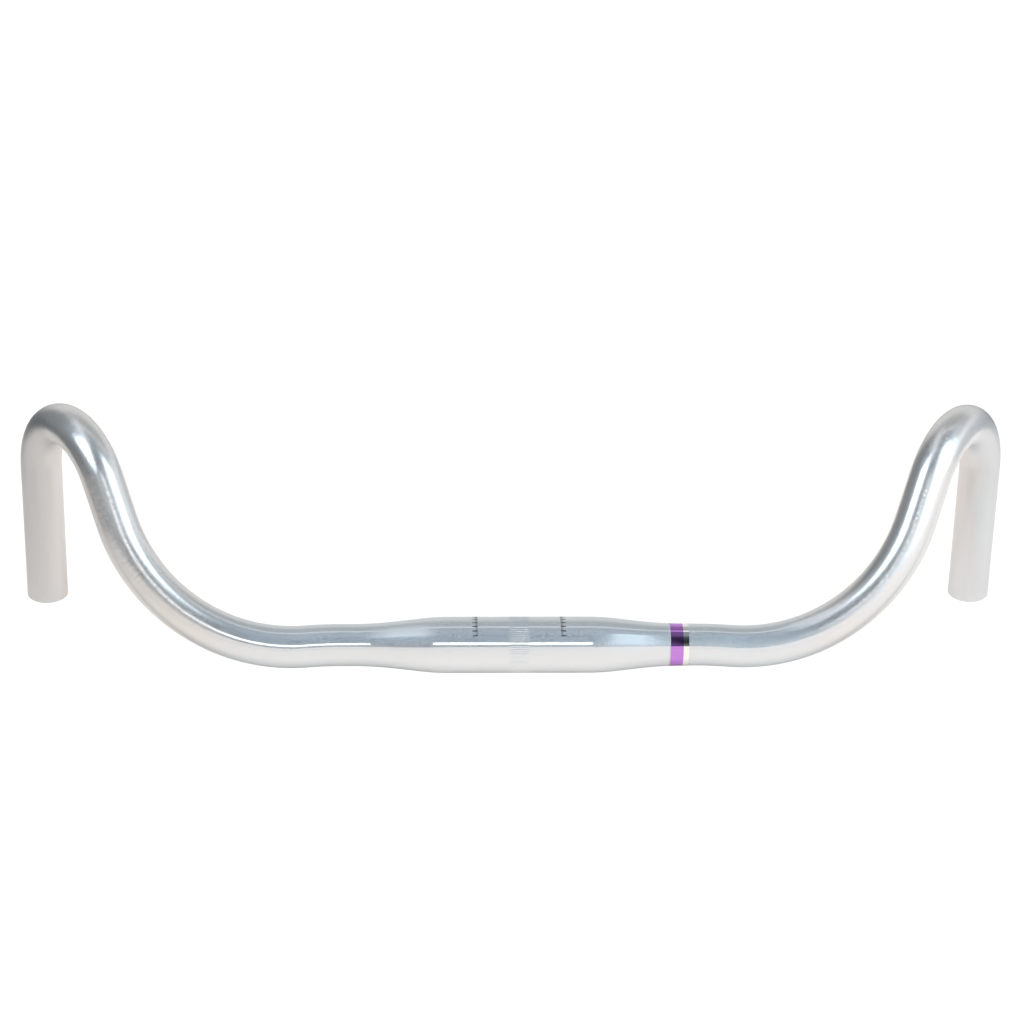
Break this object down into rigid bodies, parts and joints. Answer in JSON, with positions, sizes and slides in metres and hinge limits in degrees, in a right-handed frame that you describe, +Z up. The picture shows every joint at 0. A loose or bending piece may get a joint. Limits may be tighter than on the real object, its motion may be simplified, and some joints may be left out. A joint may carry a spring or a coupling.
{
  "type": "swept-back handlebar",
  "caption": "Swept-back steering bar in bent aluminium tube: thick middle clamp zone, tapered arms that bend forward, U-turn back and end in straight bare grip tubes.",
  "frame": {"origin": "centre of the clamp zone, on the tube's axis", "axes": "+X along the clamp zone, towards the right-hand end in the picture; +Z up off the bench on which the bar stands; +Y away from the viewer, towards the two grip ends. Millimetres in the source, metres here. The bar stands as pictured, on the clamp zone and the two grip ends, which is upside down to its riding position. There the grips lie level, about 110 mm below the clamp axis, and the front bends reach forward and fall by the angle grip_drop."},
  "size_m": [0.5734, 0.139, 0.1343],
  "materials": {
    "anodised_tube": "silver anodised: polished in the middle and on the arms, satin on the grips",
    "foil": "mirror foil, lilac with a silver edge strip"
  },
  "bodies": {
    "root": {"bar_tube": "anodised_tube", "foil_band": "foil"}
  },
  "joints": []
}
